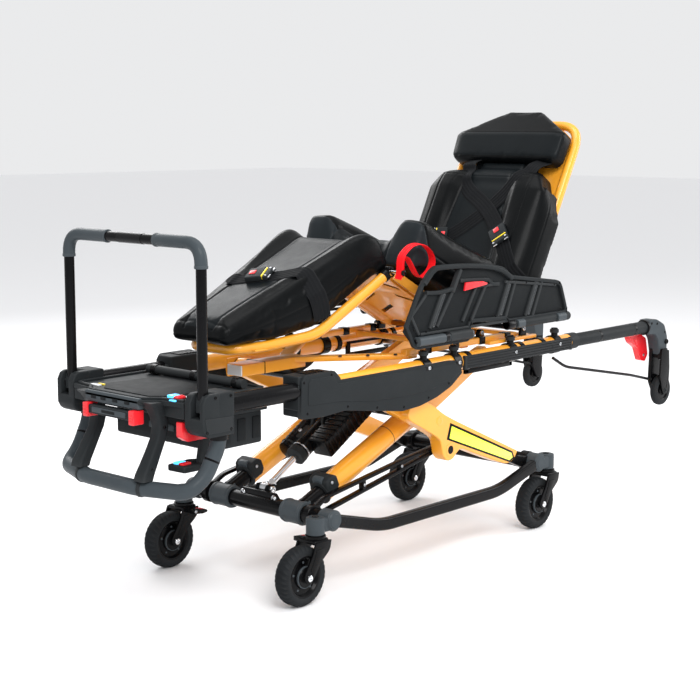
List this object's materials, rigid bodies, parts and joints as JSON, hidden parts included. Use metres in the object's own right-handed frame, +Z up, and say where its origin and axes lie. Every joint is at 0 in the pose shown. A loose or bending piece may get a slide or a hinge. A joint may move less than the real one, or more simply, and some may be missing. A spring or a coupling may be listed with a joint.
{
  "type": "stretcher trolley",
  "caption": "Powered ambulance stretcher trolley with a telescoping X-frame, folding backrest and knee section, side guards and swivel casters.",
  "frame": {"origin": "middle of the footprint on the floor, under the centre of the bounding box", "axes": "+X toward the head end, +Y toward the side guard named right, +Z up; +X is the longest side"},
  "size_m": [2.1494, 0.572, 1.2334],
  "materials": {
    "yellow": "semi-gloss powder coat",
    "black": "gloss black paint",
    "dark": "textured dark grey moulding",
    "grey": "satin mid grey grip",
    "chrome": "polished",
    "tyre": "moulded tread",
    "bumper": "ribbed",
    "vinyl": "coated upholstery, welded seams",
    "webbing": "woven webbing",
    "red": "satin red moulding",
    "blue": "lit button"
  },
  "bodies": {
    "base": {"base_frame": "black"},
    "fork_foot_left": {"caster_fork_foot_left": "black"},
    "wheel_foot_left": {"caster_wheel_foot_left": "tyre"},
    "fork_foot_right": {"caster_fork_foot_right": "black"},
    "wheel_foot_right": {"caster_wheel_foot_right": "tyre"},
    "fork_head_left": {"caster_fork_head_left": "black"},
    "wheel_head_left": {"caster_wheel_head_left": "tyre"},
    "fork_head_right": {"caster_fork_head_right": "black"},
    "wheel_head_right": {"caster_wheel_head_right": "tyre"},
    "pedal_left": {"brake_pedal_left": "black"},
    "pedal_right": {"brake_pedal_right": "black"},
    "leg_a_inner": {"leg_a_inner_left": "black", "leg_a_inner_right": "black"},
    "leg_a_outer": {"leg_a_outer_left": "yellow", "leg_a_outer_right": "yellow", "leg_a_shaft": "black"},
    "leg_b_inner": {"leg_b_inner_left": "black", "leg_b_inner_right": "black"},
    "leg_b_outer": {"leg_b_outer_left": "yellow", "leg_b_outer_right": "yellow", "leg_b_top_tube": "black"},
    "links": {"link_left": "black", "link_right": "black"},
    "ram_rod": {"lift_rod": "chrome"},
    "ram_barrel": {"lift_barrel": "black"},
    "litter": {"litter_frame": "yellow", "rail_left": "yellow", "rail_right": "yellow", "cover_left": "dark", "cover_right": "dark", "bumper_left": "bumper", "bumper_right": "bumper", "housing_left": "dark", "housing_right": "dark", "console": "dark", "lift_hoop": "grey", "battery_pack": "black"},
    "push_bar": {"push_bar": "black"},
    "foot_latch": {"foot_latch": "red"},
    "raise_button": {"raise_button": "blue"},
    "lower_button": {"lower_button": "red"},
    "release_lever": {"release_lever": "red"},
    "thigh": {"thigh_pan": "yellow", "cushion_seat": "vinyl"},
    "lower_leg": {"leg_frame": "yellow", "cushion_leg": "vinyl", "leg_strap": "webbing"},
    "backrest": {"back_frame": "yellow", "cushion_back": "vinyl", "headrest": "vinyl", "harness_strap": "webbing"},
    "guard_left": {"side_guard_left": "dark"},
    "guard_release_left": {"guard_release_left": "red"},
    "guard_right": {"side_guard_right": "dark"},
    "guard_release_right": {"guard_release_right": "red"},
    "head_section": {"head_tube_left": "dark", "head_tube_right": "dark"},
    "load_wheel_left": {"load_wheel_left": "tyre"},
    "load_wheel_right": {"load_wheel_right": "tyre"},
    "head_latch": {"head_latch": "red"}
  },
  "joints": [
    {"name": "swivel_foot_left", "type": "hinge", "parent": "base", "child": "fork_foot_left", "pos_m": [-0.61, -0.247, 0.171], "axis": [0, 0, 1], "continuous": true},
    {"name": "roll_foot_left", "type": "hinge", "parent": "fork_foot_left", "child": "wheel_foot_left", "pos_m": [-0.665, -0.247, 0.076], "axis": [0, 1, 0], "continuous": true},
    {"name": "swivel_foot_right", "type": "hinge", "parent": "base", "child": "fork_foot_right", "pos_m": [-0.61, 0.247, 0.171], "axis": [0, 0, 1], "continuous": true},
    {"name": "roll_foot_right", "type": "hinge", "parent": "fork_foot_right", "child": "wheel_foot_right", "pos_m": [-0.665, 0.247, 0.076], "axis": [0, 1, 0], "continuous": true},
    {"name": "swivel_head_left", "type": "hinge", "parent": "base", "child": "fork_head_left", "pos_m": [0.39, -0.247, 0.171], "axis": [0, 0, 1], "continuous": true},
    {"name": "roll_head_left", "type": "hinge", "parent": "fork_head_left", "child": "wheel_head_left", "pos_m": [0.335, -0.247, 0.076], "axis": [0, 1, 0], "continuous": true},
    {"name": "swivel_head_right", "type": "hinge", "parent": "base", "child": "fork_head_right", "pos_m": [0.39, 0.247, 0.171], "axis": [0, 0, 1], "continuous": true},
    {"name": "roll_head_right", "type": "hinge", "parent": "fork_head_right", "child": "wheel_head_right", "pos_m": [0.335, 0.247, 0.076], "axis": [0, 1, 0], "continuous": true},
    {"name": "brake_left", "type": "hinge", "parent": "fork_foot_left", "child": "pedal_left", "pos_m": [-0.623, -0.2, 0.154], "axis": [0, 1, 0], "range_deg": [0, 12]},
    {"name": "brake_right", "type": "hinge", "parent": "fork_foot_right", "child": "pedal_right", "pos_m": [-0.623, 0.2, 0.154], "axis": [0, 1, 0], "range_deg": [0, 12]},
    {"name": "height_lift", "type": "hinge", "parent": "base", "child": "leg_a_inner", "pos_m": [-0.562, 0, 0.2], "axis": [0, -1, 0], "range_deg": [-12.5, 16.7]},
    {"name": "leg_a_extend", "type": "slide", "parent": "leg_a_inner", "child": "leg_a_outer", "axis": [0.9184, 0, 0.3955], "range_m": [-0.0505, 0.0675]},
    {"name": "leg_b_lift", "type": "hinge", "parent": "base", "child": "leg_b_inner", "pos_m": [0.331, 0, 0.2], "axis": [0, 1, 0], "range_deg": [-12.5, 16.7]},
    {"name": "leg_b_extend", "type": "slide", "parent": "leg_b_inner", "child": "leg_b_outer", "axis": [-0.9184, 0, 0.3955], "range_m": [-0.0505, 0.0675]},
    {"name": "ram_tilt", "type": "hinge", "parent": "base", "child": "ram_rod", "pos_m": [-0.54, 0, 0.236], "axis": [0, -1, 0], "range_deg": [-12.8, 17.1]},
    {"name": "ram_extend", "type": "slide", "parent": "ram_rod", "child": "ram_barrel", "axis": [0.8575, 0, 0.5145], "range_m": [-0.0464, 0.0618]},
    {"name": "link_tilt", "type": "hinge", "parent": "base", "child": "links", "pos_m": [-0.562, 0, 0.2], "axis": [0, -1, 0], "range_deg": [-12, 16]},
    {"name": "litter_level", "type": "hinge", "parent": "leg_b_outer", "child": "litter", "pos_m": [-0.42396, 0, 0.52514], "axis": [0, -1, 0], "range_deg": [-12.5, 16.7]},
    {"name": "push_bar_fold", "type": "hinge", "parent": "litter", "child": "push_bar", "pos_m": [-0.977, 0, 0.545], "axis": [0, -1, 0], "range_deg": [0, 90]},
    {"name": "foot_latch_pull", "type": "slide", "parent": "litter", "child": "foot_latch", "axis": [1, 0, 0], "range_m": [0, 0.008], "stiffness_N_per_m": 600},
    {"name": "raise_press", "type": "slide", "parent": "litter", "child": "raise_button", "axis": [0, 0, -1], "range_m": [0, 0.003], "stiffness_N_per_m": 400},
    {"name": "lower_press", "type": "slide", "parent": "litter", "child": "lower_button", "axis": [0, 0, -1], "range_m": [0, 0.003], "stiffness_N_per_m": 400},
    {"name": "release_pull", "type": "hinge", "parent": "litter", "child": "release_lever", "pos_m": [-0.987, -0.186, 0.5], "axis": [0, -1, 0], "range_deg": [0, 12], "stiffness_Nm_per_rad": 2, "springref_deg": -5.73},
    {"name": "thigh_tilt", "type": "hinge", "parent": "litter", "child": "thigh", "pos_m": [0.135, 0, 0.6], "axis": [0, 1, 0], "range_deg": [-28.4, 0]},
    {"name": "knee_bend", "type": "hinge", "parent": "thigh", "child": "lower_leg", "pos_m": [-0.235, 0, 0.8], "axis": [0, 1, 0], "range_deg": [0, 57]},
    {"name": "back_tilt", "type": "hinge", "parent": "litter", "child": "backrest", "pos_m": [0.293, 0, 0.6], "axis": [0, -1, 0], "range_deg": [-61.5, 11.5]},
    {"name": "guard_fold_left", "type": "hinge", "parent": "litter", "child": "guard_left", "pos_m": [0.075, -0.268, 0.622], "axis": [1, 0, 0], "range_deg": [0, 165]},
    {"name": "guard_unlock_left", "type": "hinge", "parent": "guard_left", "child": "guard_release_left", "pos_m": [0.035, -0.278, 0.757], "axis": [0, 1, 0], "range_deg": [-8, 0], "stiffness_Nm_per_rad": 0.5, "springref_deg": 5.73},
    {"name": "guard_fold_right", "type": "hinge", "parent": "litter", "child": "guard_right", "pos_m": [0.075, 0.268, 0.622], "axis": [-1, 0, 0], "range_deg": [0, 165]},
    {"name": "guard_unlock_right", "type": "hinge", "parent": "guard_right", "child": "guard_release_right", "pos_m": [0.035, 0.278, 0.757], "axis": [0, 1, 0], "range_deg": [-8, 0], "stiffness_Nm_per_rad": 0.5, "springref_deg": 5.73},
    {"name": "head_retract", "type": "slide", "parent": "litter", "child": "head_section", "axis": [-1, 0, 0], "range_m": [0, 0.395]},
    {"name": "load_roll_left", "type": "hinge", "parent": "head_section", "child": "load_wheel_left", "pos_m": [1.025, -0.255, 0.328], "axis": [0, 1, 0], "continuous": true},
    {"name": "load_roll_right", "type": "hinge", "parent": "head_section", "child": "load_wheel_right", "pos_m": [1.025, 0.255, 0.328], "axis": [0, 1, 0], "continuous": true},
    {"name": "head_latch_lift", "type": "hinge", "parent": "head_section", "child": "head_latch", "pos_m": [0.975, -0.211, 0.44], "axis": [0, 1, 0], "range_deg": [0, 12], "stiffness_Nm_per_rad": 2, "springref_deg": -5.73}
  ],
  "couplings": [
    {"joint": "leg_a_extend", "follows": "height_lift", "m_per_rad": 0.23},
    {"joint": "leg_b_lift", "follows": "height_lift", "ratio": 1},
    {"joint": "leg_b_extend", "follows": "height_lift", "m_per_rad": 0.23},
    {"joint": "ram_tilt", "follows": "height_lift", "ratio": 1.015},
    {"joint": "ram_extend", "follows": "height_lift", "m_per_rad": 0.21},
    {"joint": "link_tilt", "follows": "height_lift", "ratio": 0.95},
    {"joint": "litter_level", "follows": "height_lift", "ratio": 1},
    {"joint": "knee_bend", "follows": "thigh_tilt", "ratio": -2}
  ]
}
